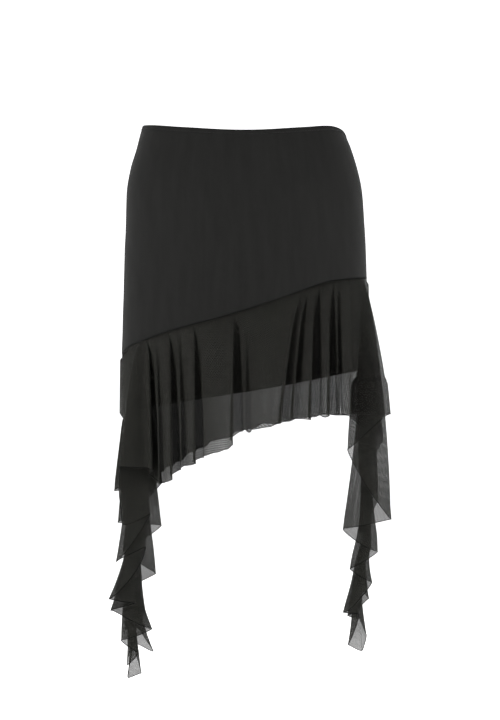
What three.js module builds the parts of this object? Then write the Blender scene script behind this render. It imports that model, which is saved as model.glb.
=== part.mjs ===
// A short skirt in fine black mesh, standing open as it does when worn. A slanted seam runs round a plain
// fitted body. Below it hangs a gathered flounce, which grows at each side into a long folded drop with a
// point. A short lining shows through the flounce. Millimetres, +Z up, the front faces -Y.
// The origin is the middle of the waist opening, level with its top edge at the sides.
import * as THREE from "three";

// Driving sizes
const wall = 1.2; // thickness of each cloth wall, measured level
const seamGap = 0.6; // between two pieces at a seam
const slantedGap = 0.8; // at the slanted seam, where the two edges have facets of their own
const casingHeight = 7; // the turned casing that holds the waist elastic
const casingInside = -2.8; // casing faces, measured out from the middle of the body cloth
const casingOutside = 0.9;
const liningInset = 2.3; // from the middle of the body cloth in to the middle of the lining
const panelColumns = 20; // facets across each half of the body, the same in body and lining
const panelRows = 7; // and down it
const roundness = 2.25; // 2 is an ellipse, and more is squarer at the corners
const foldRadius = 3.2; // how round the edge of a hanging fold is
// How soon below the seam a fold of the front or back reaches its place, where 1 is a straight line
const swing = 0.55;
const foldDepth = 1.4; // how much deeper the folds hang than their rows below say
const pastCorner = 0.4; // how fast a fold goes on outwards where its neighbours hang lower than its corner
const seamHold = 0.06; // share of a fold, from the seam down, over which the seam still holds it in
const seamEdge = 0.02; // share of a fold that stays on the body line, where the two are sewn together
const liningClearance = 2.4; // from the body line out to the middle of the nearest flounce fold
const liningDrop = 3; // below the lining's hem, where folds may start to swing inwards
const tuckSlope = 0.7; // how fast they may swing
const deepestTuck = 60;
const liningShare = 0.3; // how far down a fold, in rows, the lining's hem lies

// The body's level sections, from the waist down: half its width on the low and the high side, and its
// depth in front of and behind the side seams. The flounce is measured out from them too.
const sections = [
  { z: 0, low: 132, high: 124, front: 95, back: 99 },
  { z: -12, low: 136, high: 130, front: 97, back: 102 },
  { z: -31, low: 141, high: 138, front: 100, back: 107 },
  { z: -57, low: 148.5, high: 146, front: 103, back: 113 },
  { z: -83, low: 153, high: 151.5, front: 105, back: 118 },
  { z: -122, low: 154.5, high: 154.5, front: 106, back: 122 },
  { z: -200, low: 157, high: 158, front: 106, back: 121 },
  { z: -290, low: 159.5, high: 159, front: 106, back: 117 },
  { z: -380, low: 160.5, high: 160, front: 106, back: 114 },
  { z: -460, low: 161.5, high: 161, front: 106, back: 112 },
];

// Height of the waist edge round the body. 0 is the high side, 90 the back, 180 the low side, 270 the
// front.
const waistEdge = [
  { angle: 0, z: -9 },
  { angle: 25, z: -4 },
  { angle: 90, z: -3 },
  { angle: 150, z: -1 },
  { angle: 180, z: 0 },
  { angle: 210, z: -3 },
  { angle: 240, z: -8.5 },
  { angle: 270, z: -12.6 },
  { angle: 300, z: -8.5 },
  { angle: 330, z: -4 },
  { angle: 360, z: -9 },
];

// The slanted seam between body and flounce, low at one side and high at the other, and the lining's hem
const seamLine = [
  { x: -160, z: -296 },
  { x: -150, z: -287 },
  { x: -128, z: -278 },
  { x: -90, z: -265 },
  { x: -45, z: -253 },
  { x: 7, z: -238 },
  { x: 55, z: -222 },
  { x: 78, z: -213 },
  { x: 105, z: -204 },
  { x: 133, z: -199.5 },
  { x: 160, z: -197 },
];
const liningHem = [
  { x: -160, z: -371 },
  { x: -85, z: -358 },
  { x: 34, z: -339 },
  { x: 138, z: -319.5 },
  { x: 160, z: -316 },
];

// Each fold of the flounce runs from the seam to the hem. In the front and back pieces a row gives its x at
// the seam and at the hem, how far out from the body line it ends, and the height of the hem.
const frontFolds = [
  { top: -129, hem: -127, out: 12, z: -440 },
  { top: -125, hem: -117, out: 15, z: -442 },
  { top: -122, hem: -120, out: 1, z: -450 },
  { top: -119, hem: -109, out: 1, z: -458 },
  { top: -116, hem: -108, out: 13, z: -460 },
  { top: -110, hem: -103, out: 9, z: -459 },
  { top: -104, hem: -98, out: 17, z: -457 },
  { top: -97, hem: -91, out: 14, z: -454 },
  { top: -94, hem: -94, out: 1, z: -449 },
  { top: -91, hem: -82, out: 0, z: -443 },
  { top: -88, hem: -80, out: 13, z: -439 },
  { top: -81, hem: -75, out: 8, z: -437 },
  { top: -75, hem: -69, out: 16, z: -436 },
  { top: -66, hem: -62, out: 14, z: -434 },
  { top: -63, hem: -65, out: 1, z: -431 },
  { top: -60, hem: -53, out: 0, z: -427 },
  { top: -57, hem: -50, out: 12, z: -424 },
  { top: -42, hem: -36, out: 13, z: -420 },
  { top: -25, hem: -23, out: 15, z: -416 },
  { top: -16, hem: -15, out: 19, z: -410 },
  { top: -13, hem: -18, out: 2, z: -402 },
  { top: -10, hem: -4, out: 0, z: -394 },
  { top: -7, hem: -1, out: 12, z: -391 },
  { top: 2, hem: 5, out: 8, z: -395 },
  { top: 12, hem: 10, out: 14, z: -391 },
  { top: 36, hem: 30, out: 15, z: -388 },
  { top: 62, hem: 42, out: 13, z: -384 },
  { top: 74, hem: 46, out: 12, z: -383 },
  { top: 76, hem: 43, out: 3, z: -381 },
  { top: 78, hem: 56, out: 10, z: -380 },
  { top: 80, hem: 60, out: 13, z: -378 },
  { top: 82, hem: 59, out: 3, z: -378 },
  { top: 84, hem: 72, out: 13, z: -378 },
  { top: 88, hem: 83, out: 16, z: -379 },
  { top: 90, hem: 80, out: 1, z: -376 },
  { top: 92, hem: 94, out: 0, z: -374 },
  { top: 95, hem: 96, out: 13, z: -374 },
  { top: 99, hem: 101, out: 17, z: -376 },
  { top: 105, hem: 107, out: 14, z: -374 },
  { top: 108, hem: 104, out: 1, z: -373 },
  { top: 111, hem: 115, out: 1, z: -373 },
  { top: 113, hem: 117, out: 12, z: -373 },
  { top: 116, hem: 120, out: 6, z: -374 },
  { top: 121, hem: 125, out: 13, z: -373 },
  { top: 128, hem: 134, out: 11, z: -373 },
  { top: 133, hem: 139, out: -3, z: -373 },
];
const backFolds = [
  { top: 134, hem: 133, out: -6, z: -377 },
  { top: 122, hem: 122, out: 16, z: -378 },
  { top: 108, hem: 106, out: 3, z: -376 },
  { top: 94, hem: 91, out: 18, z: -381 },
  { top: 78, hem: 73, out: 4, z: -381 },
  { top: 60, hem: 57, out: 17, z: -387 },
  { top: 40, hem: 39, out: 15, z: -390 },
  { top: 26, hem: 25, out: 3, z: -389 },
  { top: 10, hem: 8, out: 18, z: -397 },
  { top: -6, hem: -9, out: 4, z: -399 },
  { top: -24, hem: -25, out: 17, z: -409 },
  { top: -44, hem: -43, out: 3, z: -412 },
  { top: -60, hem: -58, out: 18, z: -422 },
  { top: -76, hem: -74, out: 4, z: -428 },
  { top: -92, hem: -88, out: 17, z: -440 },
  { top: -106, hem: -102, out: 2, z: -446 },
  { top: -118, hem: -112, out: 14, z: -454 },
  { top: -130, hem: -122, out: -4, z: -460 },
];

// In the side drops a row gives how many degrees round from the side a fold starts at the seam, the corner
// that it makes at the hem, and how late it swings out to that corner. The side seam runs to the point.
const lowPoint = { turn: 0, x: -152, y: 0, z: -717, swing: 5 };
const highPoint = { turn: 0, x: 152, y: 0, z: -682, swing: 5 };
const lowFrontFolds = [
  { turn: 1.3, x: -135, y: -4, z: -711, swing: 5 },
  { turn: 2.7, x: -146, y: -8, z: -670, swing: 2 },
  { turn: 4.3, x: -153, y: -12, z: -699, swing: 4 },
  { turn: 6.5, x: -138, y: -17, z: -682, swing: 3 },
  { turn: 9, x: -160, y: -23, z: -665, swing: 4 },
  { turn: 12, x: -120, y: -30, z: -650, swing: 5 },
  { turn: 15, x: -173, y: -37, z: -626, swing: 4.5 },
  { turn: 18, x: -141, y: -45, z: -616, swing: 3 },
  { turn: 21, x: -174, y: -52, z: -610, swing: 4 },
  { turn: 24, x: -127, y: -60, z: -543, swing: 1.2 },
  { turn: 27, x: -164, y: -68, z: -561, swing: 1.5 },
  { turn: 30, x: -120, y: -77, z: -499, swing: 0.8 },
  { turn: 33, x: -154, y: -86, z: -513, swing: 0.7 },
  { turn: 36, x: -157, y: -96, z: -439, swing: 0.65 },
];
const highFrontFolds = [
  { turn: 21, x: 185, y: -66, z: -373, swing: 0.65 },
  { turn: 18, x: 131, y: -58, z: -418, swing: 0.5 },
  { turn: 15.5, x: 187, y: -50, z: -508, swing: 0.68 },
  { turn: 13, x: 126, y: -42, z: -520, swing: 1.28 },
  { turn: 10.5, x: 171, y: -34, z: -550, swing: 5 },
  { turn: 8, x: 135, y: -26, z: -573, swing: 2.2 },
  { turn: 6, x: 164, y: -19, z: -591, swing: 6 },
  { turn: 4.2, x: 128, y: -13, z: -631, swing: 6 },
  { turn: 2.7, x: 147, y: -9, z: -633, swing: 2 },
  { turn: 1.3, x: 134, y: -5, z: -674, swing: 6 },
];
const highBackFolds = [
  { turn: 1.5, x: 158, y: 5, z: -661, swing: 6 },
  { turn: 3, x: 149, y: 9, z: -641, swing: 2 },
  { turn: 5, x: 134, y: 14, z: -637, swing: 6 },
  { turn: 8, x: 162, y: 21, z: -616, swing: 6 },
  { turn: 12, x: 146, y: 30, z: -596, swing: 3 },
  { turn: 16, x: 166, y: 40, z: -549, swing: 4 },
  { turn: 20, x: 150, y: 50, z: -530, swing: 1.5 },
  { turn: 24, x: 176, y: 60, z: -488, swing: 0.65 },
  { turn: 28, x: 151, y: 70, z: -452, swing: 1.3 },
  { turn: 31, x: 182, y: 80, z: -406, swing: 0.6 },
];
const lowBackFolds = [
  { turn: 34, x: -173, y: 86, z: -478, swing: 0.65 },
  { turn: 30.5, x: -111, y: 77, z: -466, swing: 0.7 },
  { turn: 27, x: -169, y: 68, z: -519, swing: 0.8 },
  { turn: 23.5, x: -111, y: 60, z: -522, swing: 0.8 },
  { turn: 20, x: -161, y: 52, z: -554, swing: 1.5 },
  { turn: 17, x: -117, y: 44, z: -585, swing: 1.5 },
  { turn: 14, x: -170, y: 37, z: -606, swing: 4 },
  { turn: 11, x: -131, y: 30, z: -632, swing: 3 },
  { turn: 8, x: -156, y: 23, z: -657, swing: 3 },
  { turn: 5.6, x: -140, y: 17, z: -654, swing: 2 },
  { turn: 3.5, x: -120, y: 12, z: -684, swing: 5 },
  { turn: 1.6, x: -144, y: 6, z: -673, swing: 2 },
];

// The middle line that each drop hangs along, from the seam down
const lowAxis = [
  { z: -290, x: -156 },
  { z: -460, x: -147 },
  { z: -560, x: -145 },
  { z: -620, x: -147 },
  { z: -680, x: -144 },
  { z: -720, x: -145 },
];
const highAxis = [
  { z: -197, x: 156 },
  { z: -372, x: 160 },
  { z: -520, x: 156 },
  { z: -566, x: 149 },
  { z: -594, x: 147 },
  { z: -620, x: 145 },
  { z: -690, x: 147 },
];

const meshBlack = 0x2b2b2c;
const liningBlack = 0x232325;
const degrees = Math.PI / 180;

// A smooth curve through a table's rows, which run in order of the column named along
function read(table, along, column, at) {
  const last = table.length - 1;
  const rising = table[last][along] > table[0][along];
  let i = 0;
  while (i < last - 1 && (rising ? at > table[i + 1][along] : at < table[i + 1][along])) i++;
  const slope = (j) => {
    const a = table[Math.max(j - 1, 0)];
    const b = table[Math.min(j + 1, last)];
    return (b[column] - a[column]) / (b[along] - a[along]);
  };
  const from = table[i];
  const to = table[i + 1];
  const span = to[along] - from[along];
  const t = Math.min(1, Math.max(0, (at - from[along]) / span));
  const cube = t * t * t;
  const square = t * t;
  return (
    (2 * cube - 3 * square + 1) * from[column] +
    (cube - 2 * square + t) * span * slope(i) +
    (3 * square - 2 * cube) * to[column] +
    (cube - square) * span * slope(i + 1)
  );
}

// Half the width and the depth of the quarter of a level section that holds x and y
function sectionAt(z, x, y) {
  return {
    half: read(sections, "z", x < 0 ? "low" : "high", z),
    deep: read(sections, "z", y < 0 ? "front" : "back", z),
  };
}

// The point of the body line at an angle and a height
function onBody(angle, z) {
  const c = Math.cos(angle * degrees);
  const s = Math.sin(angle * degrees);
  const { half, deep } = sectionAt(z, c, s);
  const power = 2 / roundness;
  return new THREE.Vector3(
    half * Math.sign(c) * Math.abs(c) ** power,
    deep * Math.sign(s) * Math.abs(s) ** power,
    z,
  );
}

// The level direction straight out from the body line
function outFrom(point) {
  const { half, deep } = sectionAt(point.z, point.x, point.y);
  return new THREE.Vector3(
    (Math.sign(point.x) * Math.abs(point.x / half) ** (roundness - 1)) / half,
    (Math.sign(point.y) * Math.abs(point.y / deep) ** (roundness - 1)) / deep,
    0,
  ).normalize();
}

// The angle at which the front or back of the body line has a given x
function angleAt(x, z, side) {
  const share = Math.min(1, Math.abs(x) / sectionAt(z, x, 0).half);
  const turn = Math.acos(Math.sign(x) * share ** (roundness / 2)) / degrees;
  return side === "front" ? 360 - turn : turn;
}

// The height of a slanted edge at an angle, found in a few steps because x depends on the height
function edgeAt(table, angle) {
  let z = table[0].z;
  for (let step = 0; step < 4; step++) z = read(table, "x", "z", onBody(angle, z).x);
  return z;
}

// A closed wall of cloth on a surface of two parameters, with faces measured level out from the surface.
// The first and last columns draw back by half a seam gap, unless the wall runs all the way round.
function clothWall({ name, colour, surface, columns, rows, inside, outside, ring = false }) {
  const step = 0.01;
  const count = columns.length;
  const grid = columns.map((u) => rows.map((v) => surface(u, v)));
  const normals = columns.map((u) =>
    rows.map((v) => {
      const across = surface(u + step, v).sub(surface(u - step, v));
      const down = surface(u, v + step).sub(surface(u, v - step));
      return down.cross(across).setZ(0).normalize();
    }),
  );
  const pull = (column, neighbour) =>
    column.forEach((p, j) => {
      const way = neighbour[j].clone().sub(p).normalize();
      p.addScaledVector(way, seamGap / 2);
    });
  if (!ring) {
    pull(grid[0], grid[1]);
    pull(grid[count - 1], grid[count - 2]);
  }
  const points = [];
  [outside, inside].forEach((out) =>
    grid.forEach((column, i) =>
      column.forEach((p, j) => points.push(...p.clone().addScaledVector(normals[i][j], out))),
    ),
  );
  const tall = rows.length;
  const at = (i, j, skin) => (skin * count + (i % count)) * tall + j;
  const faces = [];
  const quad = (a, b, c, d) => faces.push(a, b, c, a, c, d);
  const wide = ring ? count : count - 1;
  for (let i = 0; i < wide; i++) {
    for (let j = 0; j < tall - 1; j++) {
      quad(at(i, j, 0), at(i, j + 1, 0), at(i + 1, j + 1, 0), at(i + 1, j, 0));
      quad(at(i, j, 1), at(i + 1, j, 1), at(i + 1, j + 1, 1), at(i, j + 1, 1));
    }
    quad(at(i, 0, 0), at(i + 1, 0, 0), at(i + 1, 0, 1), at(i, 0, 1));
    quad(at(i + 1, tall - 1, 0), at(i, tall - 1, 0), at(i, tall - 1, 1), at(i + 1, tall - 1, 1));
  }
  if (!ring) {
    for (let j = 0; j < tall - 1; j++) {
      quad(at(0, j + 1, 0), at(0, j, 0), at(0, j, 1), at(0, j + 1, 1));
      quad(at(wide, j, 0), at(wide, j + 1, 0), at(wide, j + 1, 1), at(wide, j, 1));
    }
  }
  const geometry = new THREE.BufferGeometry();
  geometry.setAttribute("position", new THREE.Float32BufferAttribute(points, 3));
  geometry.setIndex(faces);
  geometry.computeVertexNormals();
  const material = new THREE.MeshStandardMaterial({ color: colour, roughness: 0.85, metalness: 0 });
  const mesh = new THREE.Mesh(geometry, material);
  mesh.name = name;
  return mesh;
}

const spread = (from, to, count) =>
  Array.from({ length: count + 1 }, (_, i) => from + ((to - from) * i) / count);

// A plain panel between two edges, given as heights at an angle, set in or out from the body line
function panelSurface(topEdge, bottomEdge, inset) {
  return (angle, v) => {
    const z = topEdge(angle) + (bottomEdge(angle) - topEdge(angle)) * v;
    const p = onBody(angle, z);
    return p.addScaledVector(outFrom(p), -inset);
  };
}

const waistAt = (angle) => read(waistEdge, "angle", "z", ((angle % 360) + 360) % 360);
const underCasing = (angle) => waistAt(angle) - casingHeight - seamGap;
const seamAt = (angle) => edgeAt(seamLine, angle);
const liningHemAt = (angle) => edgeAt(liningHem, angle);

function waistCasing() {
  const bottom = (angle) => waistAt(angle) - casingHeight;
  return clothWall({
    name: "waist_casing",
    colour: meshBlack,
    surface: panelSurface(waistAt, bottom, 0),
    columns: spread(0, 360, 2 * panelColumns).slice(0, -1),
    rows: spread(0, 1, 1),
    inside: casingInside,
    outside: casingOutside,
    ring: true,
  });
}

function bodyPanel(name, from, to) {
  return clothWall({
    name,
    colour: meshBlack,
    surface: panelSurface(underCasing, seamAt, 0),
    columns: spread(from, to, panelColumns),
    rows: spread(0, 1, panelRows),
    inside: -wall / 2,
    outside: wall / 2,
  });
}

function liningPanel(name, from, to) {
  return clothWall({
    name,
    colour: liningBlack,
    surface: panelSurface(underCasing, liningHemAt, liningInset),
    columns: spread(from, to, panelColumns),
    rows: spread(0, 1, panelRows),
    inside: -wall / 2,
    outside: wall / 2,
  });
}

// The line of one fold, from the seam at an angle to a point of the hem
function foldLine(angle, hem, late = swing, axis = null) {
  return { angle, top: onBody(angle, seamAt(angle)), hem, late, axis };
}

// The point with a given x on the front or back of the body line grown outwards all round
function onGrown(x, z, out, side) {
  const { half, deep } = sectionAt(z, x, side === "front" ? -1 : 1);
  const share = 1 - Math.abs(x / (half + out)) ** roundness;
  const y = (deep + out) * share ** (1 / roundness);
  return new THREE.Vector3(x, side === "front" ? -y : y, z);
}

function frontOrBackLine(row, side) {
  const angle = angleAt(row.top, read(seamLine, "x", "z", row.top), side);
  return foldLine(angle, onGrown(row.hem, row.z, row.out * foldDepth, side));
}

function dropLines(rows, sideAngle, way) {
  return rows.map((row) => {
    const axis = row.x < 0 ? lowAxis : highAxis;
    const corner = new THREE.Vector3(row.x, row.y, row.z);
    return foldLine(sideAngle + row.turn * way, corner, row.swing, axis);
  });
}

// All folds in order round the body, from the low side by the front, the high side and the back
function allFolds() {
  const turned = (line) => ({ ...line, angle: line.angle + 360 });
  const front = frontFolds.map((row) => frontOrBackLine(row, "front"));
  const back = backFolds.map((row) => frontOrBackLine(row, "back")).map(turned);
  return [
    ...dropLines([lowPoint, ...lowFrontFolds], 180, 1),
    ...front,
    ...dropLines(highFrontFolds, 360, -1),
    ...dropLines([highPoint, ...highBackFolds], 360, 1),
    ...back,
    ...dropLines(lowBackFolds, 540, -1),
  ];
}

const folds = allFolds();

// Moves a point out to the flounce's side of the lining. Below the lining's hem it may swing inwards.
function clearOfLining(p) {
  const { half, deep } = sectionAt(p.z, p.x, p.y);
  const below = Math.max(0, read(liningHem, "x", "z", p.x) - liningDrop - p.z);
  const out = Math.max(-deepestTuck, liningClearance - below * tuckSlope);
  const across = Math.abs(p.x / (half + out)) ** roundness;
  const along = Math.abs(p.y / (deep + out)) ** roundness;
  const share = (across + along) ** (1 / roundness);
  const push = share < 1 ? 1 / share : 1;
  return new THREE.Vector3(p.x * push, p.y * push, p.z);
}

// How far the middle line of a fold's drop has moved from where it starts. Folds of the front and back
// have none.
function axisShift({ axis, top }, z) {
  return axis ? read(axis, "z", "x", z) - read(axis, "z", "x", top.z) : 0;
}

// Where a fold's line passes a height. A drop's fold follows the drop's middle line, and its corner's
// distance from that line comes in by the share of the way down to the power of its swing.
function foldAt(index, z) {
  const fold = folds[(index + folds.length) % folds.length];
  const { top, hem, late } = fold;
  const t = Math.max(0, (top.z - z) / (top.z - hem.z));
  const share = Math.min(1, t / seamHold) * Math.min(1, t) ** late + pastCorner * Math.max(0, t - 1);
  const aim = hem.clone().sub(top);
  aim.x -= axisShift(fold, hem.z);
  const p = top.clone().addScaledVector(aim, share);
  p.x += axisShift(fold, z);
  p.z = z;
  return t > seamEdge ? clearOfLining(p) : p;
}

// The flounce's cloth. u counts folds and v runs from the seam to the hem. At each fold the cloth turns
// round in an arc, so that a deep fold is a loop and a shallow one a wave.
function flounceSurface(u, v) {
  const k = Math.floor(u);
  const f = u - k;
  const count = folds.length;
  const here = folds[(k + count) % count];
  const next = folds[(k + 1 + count) % count];
  const nextAngle = next.angle > here.angle ? next.angle : next.angle + 360;
  const ease = f * f * (3 - 2 * f);
  const angle = here.angle + (nextAngle - here.angle) * f;
  const topZ = seamAt(angle) - slantedGap;
  const bendZ = liningHemAt(angle) - liningDrop;
  const hemZ = here.hem.z + (next.hem.z - here.hem.z) * ease;
  const above = v < liningShare;
  const z = above
    ? topZ + ((bendZ - topZ) * v) / liningShare
    : bendZ + ((hemZ - bendZ) * (v - liningShare)) / (1 - liningShare);
  const [before, a, b, after] = [-1, 0, 1, 2].map((d) => foldAt(k + d, z));
  const leg = b.clone().sub(a);
  const tangent = (from, to) => {
    const way = to.clone().sub(from).setZ(0).normalize();
    const along = Math.abs(leg.dot(way));
    const side = Math.sqrt(Math.max(0, leg.lengthSq() - along * along));
    return way.multiplyScalar(Math.max(along, Math.sqrt(6 * side * foldRadius)));
  };
  const leave = tangent(before, b);
  const arrive = tangent(a, after);
  return a
    .clone()
    .addScaledVector(leg, ease)
    .addScaledVector(leave, f * (1 - f) * (1 - f))
    .addScaledVector(arrive, -f * f * (1 - f))
    .setZ(z);
}

// One cut piece of the flounce, between two of the folds, with the given stops along each fold and the
// given number of rows above and below the level of the lining's hem
function flouncePiece(name, from, to, stops, [above, below]) {
  const between = [];
  for (let k = Math.floor(from); k < to; k++) {
    stops.map((stop) => k + stop).forEach((u) => u > from && u < to && between.push(u));
  }
  return clothWall({
    name,
    colour: meshBlack,
    surface: flounceSurface,
    columns: [from, ...between, to],
    rows: [...spread(0, liningShare, above), ...spread(liningShare, 1, below).slice(1)],
    inside: -wall / 2,
    outside: wall / 2,
  });
}

function flouncePieces() {
  const looped = [0, 0.2, 0.5, 0.8];
  const waved = [0, 1 / 3, 2 / 3];
  const longRows = [2, 6];
  const shortRows = [3, 3];
  const frontStart = lowFrontFolds.length + 1.5;
  const frontEnd = frontStart + frontFolds.length - 2;
  const highSide = frontEnd + highFrontFolds.length + 1.5;
  const backStart = highSide + highBackFolds.length + 1.5;
  const backEnd = backStart + backFolds.length - 2;
  return [
    flouncePiece("low_drop_front", 0, frontStart, looped, longRows),
    flouncePiece("flounce_front", frontStart, frontEnd, waved, shortRows),
    flouncePiece("high_drop_front", frontEnd, highSide, looped, longRows),
    flouncePiece("high_drop_back", highSide, backStart, looped, longRows),
    flouncePiece("flounce_back", backStart, backEnd, waved, shortRows),
    flouncePiece("low_drop_back", backEnd, folds.length, looped, longRows),
  ];
}

const skirt = new THREE.Group();
skirt.add(
  waistCasing(),
  bodyPanel("body_front", 180, 360),
  bodyPanel("body_back", 0, 180),
  liningPanel("lining_front", 180, 360),
  liningPanel("lining_back", 0, 180),
  ...flouncePieces(),
);

export default skirt;
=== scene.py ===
import math
import bpy
import numpy as np
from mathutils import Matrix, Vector


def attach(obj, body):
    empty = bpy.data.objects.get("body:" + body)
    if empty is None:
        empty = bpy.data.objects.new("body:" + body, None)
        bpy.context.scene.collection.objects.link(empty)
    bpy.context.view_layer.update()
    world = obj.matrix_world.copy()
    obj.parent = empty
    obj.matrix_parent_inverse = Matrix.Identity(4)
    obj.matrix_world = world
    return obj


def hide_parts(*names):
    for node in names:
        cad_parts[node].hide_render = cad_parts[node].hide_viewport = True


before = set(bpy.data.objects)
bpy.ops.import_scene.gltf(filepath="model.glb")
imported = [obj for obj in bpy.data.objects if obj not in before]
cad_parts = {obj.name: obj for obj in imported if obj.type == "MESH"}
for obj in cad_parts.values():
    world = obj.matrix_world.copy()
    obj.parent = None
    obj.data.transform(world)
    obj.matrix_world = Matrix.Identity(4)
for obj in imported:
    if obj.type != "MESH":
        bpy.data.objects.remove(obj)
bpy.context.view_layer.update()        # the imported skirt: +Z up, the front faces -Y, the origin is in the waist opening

mm = 0.001               # shapes are worked out in millimetres and put into the meshes in metres


# A table whose rows are dictionaries: each row's numbers under the names of the columns
def tableOf(columns, rows):
    return [dict(zip(columns.split(), row)) for row in rows]


# Shape of the body: level sections with their half widths and depths, as the solids have them
bodyShape = {
    "roundness": 2.25,          # 2 is an ellipse, more is squarer
    "sections": [
        {"z": 0, "low": 132, "high": 124, "front": 95, "back": 99},
        {"z": -12, "low": 136, "high": 130, "front": 97, "back": 102},
        {"z": -31, "low": 141, "high": 138, "front": 100, "back": 107},
        {"z": -57, "low": 148.5, "high": 146, "front": 103, "back": 113},
        {"z": -83, "low": 153, "high": 151.5, "front": 105, "back": 118},
        {"z": -122, "low": 154.5, "high": 154.5, "front": 106, "back": 122},
        {"z": -200, "low": 157, "high": 158, "front": 106, "back": 121},
        {"z": -290, "low": 159.5, "high": 159, "front": 106, "back": 117},
        {"z": -380, "low": 160.5, "high": 160, "front": 106, "back": 114},
        {"z": -460, "low": 161.5, "high": 161, "front": 106, "back": 112},
    ],
    "waistEdge": [              # 0 is the high side, 90 the back, 180 the low side, 270 the front
        {"angle": 0, "z": -9}, {"angle": 25, "z": -4}, {"angle": 90, "z": -3},
        {"angle": 150, "z": -1}, {"angle": 180, "z": 0}, {"angle": 210, "z": -3},
        {"angle": 240, "z": -8.5}, {"angle": 270, "z": -12.6}, {"angle": 300, "z": -8.5},
        {"angle": 330, "z": -4}, {"angle": 360, "z": -9},
    ],
    "seamLine": [
        {"x": -160, "z": -296}, {"x": -150, "z": -287}, {"x": -128, "z": -278},
        {"x": -90, "z": -265}, {"x": -45, "z": -253}, {"x": 7, "z": -238},
        {"x": 55, "z": -222}, {"x": 78, "z": -213}, {"x": 105, "z": -204},
        {"x": 133, "z": -199.5}, {"x": 160, "z": -197},
    ],
    "liningHem": [
        {"x": -160, "z": -371}, {"x": -85, "z": -358}, {"x": 34, "z": -339},
        {"x": 138, "z": -319.5}, {"x": 160, "z": -316},
    ],
}


# A smooth curve through a table's rows. Between two rows it is a cubic whose slope at each row is that of
# the straight line between the row's neighbours.
def readTable(rows, along, column, at):
    key = np.array([row[along] for row in rows], float)
    value = np.array([row[column] for row in rows], float)
    if key[0] > key[-1]:
        key, value = key[::-1], value[::-1]
    before, after = np.r_[key[0], key[:-1]], np.r_[key[1:], key[-1]]
    slope = (np.r_[value[1:], value[-1]] - np.r_[value[0], value[:-1]]) / (after - before)
    at = np.clip(np.asarray(at, float), key[0], key[-1])
    cell = np.clip(np.searchsorted(key, at, side="right") - 1, 0, len(key) - 2)
    span = key[cell + 1] - key[cell]
    t = (at - key[cell]) / span
    return (
        (2 * t**3 - 3 * t**2 + 1) * value[cell]
        + (t**3 - 2 * t**2 + t) * span * slope[cell]
        + (3 * t**2 - 2 * t**3) * value[cell + 1]
        + (t**3 - t**2) * span * slope[cell + 1]
    )


# Half width and depth of the quarter section that holds x and y
def sectionAt(z, x, y):
    rows = bodyShape["sections"]
    half = np.where(x < 0, readTable(rows, "z", "low", z), readTable(rows, "z", "high", z))
    deep = np.where(y < 0, readTable(rows, "z", "front", z), readTable(rows, "z", "back", z))
    return half, deep


# Points of the body line: a rounded oval, x = half * cos^p and y = deep * sin^p, with p from the roundness
def onBody(angle, z):
    c, s = np.cos(np.radians(angle)), np.sin(np.radians(angle))
    half, deep = sectionAt(z, c, s)
    power = 2 / bodyShape["roundness"]
    x = half * np.sign(c) * np.abs(c) ** power
    y = deep * np.sign(s) * np.abs(s) ** power
    return np.stack([x, y, z + 0 * x], -1)


# The level direction straight out from the body line: the slope of the oval's own formula
def outFrom(p):
    half, deep = sectionAt(p[..., 2], p[..., 0], p[..., 1])
    power = bodyShape["roundness"] - 1
    x = np.sign(p[..., 0]) * np.abs(p[..., 0] / half) ** power / half
    y = np.sign(p[..., 1]) * np.abs(p[..., 1] / deep) ** power / deep
    size = np.hypot(x, y)
    return np.stack([x / size, y / size, 0 * x], -1)


# The angle at which the front or back of the body line has a given x
def angleAt(x, z, side):
    half = sectionAt(z, x, 0 * x)[0]
    turn = np.degrees(np.arccos(np.sign(x) * (np.abs(x) / half) ** (bodyShape["roundness"] / 2)))
    return 360 - turn if side == "front" else turn


# The point with a given x on the front or back of the body line grown outwards all round
def onGrown(x, z, out, side):
    half, deep = sectionAt(z, x, 0 * x + (-1 if side == "front" else 1))
    power = bodyShape["roundness"]
    share = 1 - (np.abs(x) / (half + out)) ** power
    y = (deep + out) * share ** (1 / power)
    return np.stack([x, -y if side == "front" else y, z], -1)


# Height of a slanted edge at an angle, in a few steps because x depends on the height
def edgeAt(rows, angle):
    z = rows[0]["z"] + 0 * np.asarray(angle, float)
    for step in range(4):
        z = readTable(rows, "x", "z", onBody(angle, z)[..., 0])
    return z


# Heights of the waist's edge, the slanted seam and the lining's hem at an angle, from their tables
def waistAt(angle):
    return readTable(bodyShape["waistEdge"], "angle", "z", np.mod(angle, 360))


def seamAt(angle):
    return edgeAt(bodyShape["seamLine"], angle)


def liningHemAt(angle):
    return edgeAt(bodyShape["liningHem"], angle)


# Distances along a grid in one direction, added up from its first line
def runLength(points, axis):
    steps = np.linalg.norm(np.diff(points, axis=axis), axis=-1)
    return np.concatenate([0 * np.take(steps, [0], axis), np.cumsum(steps, axis)], axis)


# Normals of a grid: the cross product of its two directions, as unit vectors. They point out of the skirt.
def gridNormals(points):
    across = np.gradient(points, axis=0)
    down = np.gradient(points, axis=1)
    normal = np.cross(down, across)
    return normal / np.linalg.norm(normal, axis=-1, keepdims=True)


# An uneven ripple: three sine waves of unlike length added together, from -1 to 1
def ripple(at, wave, phase=0.0):
    turn = 2 * math.pi * at / wave
    total = np.sin(turn + phase) + 0.6 * np.sin(1.73 * turn + 2.1 + phase) + 0.4 * np.sin(2.91 * turn + 4.0)
    return total / 2


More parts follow.
